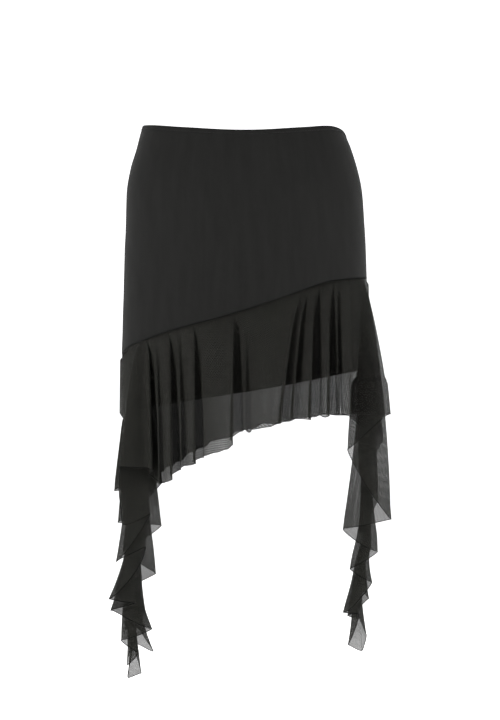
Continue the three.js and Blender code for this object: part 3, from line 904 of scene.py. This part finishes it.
# Adds up three ripples: fine gathers that fade below the seam, a slow one that starts below it, and a
# flutter that grows towards the free hem
def liven(points, flutter):
    life = clothLife
    down = runLength(points, 1)
    across = runLength(points, 0)[:, [points.shape[1] // 2]]
    up = down[:, -1:] - down
    gathers = life["gather"] * ripple(across, life["gatherWave"]) * np.exp(-down / life["gatherFade"])
    gathers = gathers * np.clip(down / life["gatherStart"], 0, 1)
    slowAt = across + life["slowLean"] * down
    slowly = life["slow"] * ripple(slowAt, life["slowWave"], life["slowPhase"])
    slow = slowly * np.clip(down / life["slowStart"], 0, 1)
    freeAt = across + life["flutterLean"] * down
    freely = flutter * ripple(freeAt, life["flutterWave"], life["flutterPhase"])
    free = freely * np.exp(-up / life["flutterFade"])
    return points + gridNormals(points) * (gathers + slow + free)[..., None]


stopSpread = {"crowding": 0.55, "least": 0.02}      # least is how near a stop may come to a piece's end


# Stops along each leg of a fold, closer together where the cloth turns: even steps less a share of a sine
def stopsBetween(start, end, perLeg):
    even = np.arange(perLeg) / perLeg
    stops = even - stopSpread["crowding"] * np.sin(2 * math.pi * even) / (2 * math.pi)
    every = (np.arange(math.floor(start), math.ceil(end))[:, None] + stops[None, :]).ravel()
    inner = every[(every > start + stopSpread["least"]) & (every < end - stopSpread["least"])]
    return np.r_[start, inner, end]


# How far the net's holes open, set until its greys looked right: across the short band, where the cloth is
# fuller towards the low side, and down the drops
openAcross = [
    {"x": -175, "open": 0.32}, {"x": -120, "open": 0.38}, {"x": -60, "open": 0.46},
    {"x": -20, "open": 0.62}, {"x": 20, "open": 0.63}, {"x": 100, "open": 0.73},
    {"x": 185, "open": 0.74},
]
openDown = [
    {"z": -480, "open": 0.66}, {"z": -560, "open": 0.63}, {"z": -630, "open": 0.5},
    {"z": -680, "open": 0.64}, {"z": -720, "open": 0.6},
]
bandEnds = {"from": -440, "to": -500}


# How far the holes open at each point: the table across the band, which passes into the one down the drops
# between the band's ends
def opennessAt(points):
    x, z = points[..., 0], points[..., 2]
    share = np.clip((z - bandEnds["from"]) / (bandEnds["to"] - bandEnds["from"]), 0, 1)
    across, down = readTable(openAcross, "x", "open", x), readTable(openDown, "z", "open", z)
    return across + (down - across) * share


# How each kind of piece is made: stops along a fold's leg, rows from the seam to the hem, how far the hem
# flutters in mm, how the net is laid in degrees, and whether it follows each row's own length
frontBand = {"perLeg": 10, "rows": 60, "flutter": 0.6, "lay": 0, "smooth": True}
backBand = {**frontBand, "perLeg": 12, "lay": 30}
frontDrop = {"perLeg": 12, "rows": 96, "flutter": 0.9, "lay": 0, "smooth": False}
backDrop = {**frontDrop, "lay": 30}


# One piece of the flounce from one count of folds to another, with an overlocked cord along its hem. The
# cord's colour is darkened as painted shade under the hem.
def makeFlounce(name, node, start, end, cut, material, edging):
    points = flounceGrid(stopsBetween(start, end, cut["perLeg"]), np.linspace(0, 1, cut["rows"]))
    points = liven(points, cut["flutter"])
    place = flareMap(points, cut["lay"], cut["smooth"])
    piece = addSheet(name, points, place, material, flounce["thick"])
    layer = piece.data.attributes.new("openness", "FLOAT", "POINT")
    layer.data.foreach_set("value", opennessAt(points).astype(np.float32).ravel())
    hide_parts(node)
    hem = points[:, -1]
    cord = addTube(name + "Hem", hem, flounce["hemCord"], edging)
    return piece, cord


# Sizes of the paper sweep and the room in metres, their light as emission strengths
stage = {
    "floor": -0.80, "front": -6.0, "back": 2.2, "bend": 0.8, "bendSteps": 14, "top": 3.2, "half": 4.5,
    "colour": "f4f4f4", "glow": 0.75, "roomRadius": 7.0, "roomTop": 8.0, "roomSteps": 65,
    "roomColour": "ffffff", "roomGlow": 1.0, "fill": 0.15, "roughness": 0.9, "gloss": 0.1,
}


# A grid of points in metres as a sheet of matt glowing paper, which is no part of the skirt
def stageSheet(name, grid, colour, glow):
    wide, tall = grid.shape[:2]
    i, j = np.meshgrid(np.arange(wide - 1), np.arange(tall - 1), indexing="ij")
    faces = np.stack([i * tall + j, i * tall + j + 1, (i + 1) * tall + j + 1, (i + 1) * tall + j], -1)
    mesh = bpy.data.meshes.new(name)
    mesh.from_pydata(grid.reshape(-1, 3).tolist(), [], faces.reshape(-1, 4).tolist())
    mesh.polygons.foreach_set("use_smooth", np.full(len(mesh.polygons), True))
    material, tree, shader = newMaterial(name + "Paper")
    shader.inputs["Base Color"].default_value = linear(colour)
    shader.inputs["Roughness"].default_value = stage["roughness"]
    shader.inputs["Specular IOR Level"].default_value = stage["gloss"]
    shader.inputs["Emission Color"].default_value = (1, 1, 1, 1)
    shader.inputs["Emission Strength"].default_value = glow
    mesh.materials.append(material)
    sheet = bpy.data.objects.new(name, mesh)
    bpy.context.scene.collection.objects.link(sheet)
    return sheet


# A pale paper sweep, which is a floor, a quarter round and an upright back, throws soft light from behind
# and below. A round white room is what the camera sees from every side, and it throws no light on the
# skirt.
def makeStage():
    world = bpy.data.worlds.new("softWhite")
    world.use_nodes = True
    world.node_tree.nodes["Background"].inputs["Color"].default_value = (1, 1, 1, 1)
    world.node_tree.nodes["Background"].inputs["Strength"].default_value = stage["fill"]
    bpy.context.scene.world = world
    turn = np.linspace(0, math.pi / 2, stage["bendSteps"])
    bend = stage["bend"]
    rise = stage["floor"] + bend * (1 - np.cos(turn))
    y = np.r_[stage["front"], stage["back"] - bend + bend * np.sin(turn), stage["back"]]
    z = np.r_[stage["floor"], rise, stage["top"]]
    sweepGrid = np.stack([np.stack([x + 0 * y, y, z], -1) for x in (-stage["half"], stage["half"])])
    sweep = stageSheet("paleSweep", sweepGrid, stage["colour"], stage["glow"])
    sweep.visible_camera = False
    around = np.linspace(0, 2 * math.pi, stage["roomSteps"])[:, None]
    radius = np.r_[0, stage["roomRadius"] - bend + bend * np.sin(turn), stage["roomRadius"]]
    high = np.r_[stage["floor"], rise, stage["roomTop"]] + 0 * around
    roomGrid = np.stack([radius * np.cos(around), radius * np.sin(around), high], -1)
    room = stageSheet("paleRoom", roomGrid, stage["roomColour"], stage["roomGlow"])
    room.visible_diffuse = False
    room.visible_glossy = False
    room.visible_shadow = False


# In metres and watts
softboxes = {
    "size": 1.5,
    "aim": (0, 0, -0.3),
    "rows": [
        {"name": "leftSoftbox", "place": (-2.6, -1.5, 0.5), "power": 80},
        {"name": "rightSoftbox", "place": (2.6, -1.5, 0.3), "power": 72},
    ],
}


# A round lamp at each softbox's place, turned to the middle of the skirt
def makeLights():
    for row in softboxes["rows"]:
        data = bpy.data.lights.new(row["name"], "AREA")
        data.shape = "DISK"
        data.size = softboxes["size"]
        data.energy = row["power"]
        light = bpy.data.objects.new(row["name"], data)
        light.location = row["place"]
        towards = Vector(softboxes["aim"]) - Vector(row["place"])
        light.rotation_euler = towards.to_track_quat("-Z", "Y").to_euler()
        bpy.context.scene.collection.objects.link(light)


# In metres, the lens and sensor in mm
camera = {"across": 0.0065, "distance": 3.5, "height": -0.304, "lens": 134.6, "sensor": 36}


# A long lens, level and square to the front, as in the photo
def makeCamera():
    data = bpy.data.cameras.new("camera")
    data.lens = camera["lens"]
    data.sensor_width = camera["sensor"]
    data.sensor_fit = "AUTO"
    view = bpy.data.objects.new("camera", data)
    view.location = (camera["across"], -camera["distance"], camera["height"])
    view.rotation_euler = (math.pi / 2, 0, 0)
    bpy.context.scene.collection.objects.link(view)
    bpy.context.scene.camera = view
    bpy.context.scene.view_settings.view_transform = "Standard"


makeStage()
makeCamera()
makeLights()
print("stage, camera and lights are in place")

frontNet = powerNet("blackPowerNet", netLook["frontPitch"], netLook["frontYarn"])
dropNet = powerNet("blackPowerNetOfDrops", netLook["dropPitch"], netLook["backYarn"])
backNet = powerNet("blackPowerNetBehind", netLook["backPitch"], netLook["backYarn"])
bodyMesh = doubledMesh("blackStretchMeshOverLining", bodyLook)
liningCloth = doubledMesh("blackTricotLining", liningLook)
thread = sewingThread()
# The hem's and the seam's edges are coloured darker than the yarn as painted shade
hemEdgeWithPaintedShade = overlocked("blackOverlockedHemWithPaintedShade", edgeLook["hem"])
seamEdgeInPaintedShade = overlocked("blackOverlockedSeamInPaintedShade", edgeLook["seam"])

casingPiece = makeCasing(bodyMesh)
casingStitches = addStitches(
    "casingStitches",
    stitchPath(lambda angle: waistAt(angle) - casing["height"] + casing["stitchUp"], casing["stitchOut"]),
    casing["stitch"], casing["thread"], thread)
bodyFront = makeBody("bodyFront", "body_front", 180, 360, bodyMesh)
bodyBack = makeBody("bodyBack", "body_back", 0, 180, bodyMesh)
liningFront = makeLining("liningFront", "lining_front", 180, 360, liningCloth)
liningBack = makeLining("liningBack", "lining_back", 0, 180, liningCloth)
liningStitches = addStitches(
    "liningStitches",
    stitchPath(lambda angle: liningHemAt(angle) + lining["stitchUp"], lining["stitchOut"]),
    lining["stitch"], lining["thread"], thread)
seamCord = makeSeamCord(seamEdgeInPaintedShade)
print("body, lining and casing are made")

# Where the pieces start and end, counted in folds from the low point. A band piece runs from half-way
# between its first two folds to half-way between its last two, and the drops take the rest.
frontStart = len(lowFrontFolds) + 1.5
frontEnd = frontStart + len(frontFolds) - 2
highSide = frontEnd + len(highFrontFolds) + 1.5
backStart = highSide + len(highBackFolds) + 1.5
backEnd = backStart + len(backFolds) - 2
flouncePieces = [
    makeFlounce("lowDropFront", "low_drop_front", 0, frontStart, frontDrop, dropNet, hemEdgeWithPaintedShade),
    makeFlounce("flounceFront", "flounce_front", frontStart, frontEnd, frontBand, frontNet, hemEdgeWithPaintedShade),
    makeFlounce("highDropFront", "high_drop_front", frontEnd, highSide, frontDrop, dropNet, hemEdgeWithPaintedShade),
    makeFlounce("highDropBack", "high_drop_back", highSide, backStart, backDrop, backNet, hemEdgeWithPaintedShade),
    makeFlounce("flounceBack", "flounce_back", backStart, backEnd, backBand, backNet, hemEdgeWithPaintedShade),
    makeFlounce("lowDropBack", "low_drop_back", backEnd, foldCount, backDrop, backNet, hemEdgeWithPaintedShade),
]
print("flounce and side drops are made")
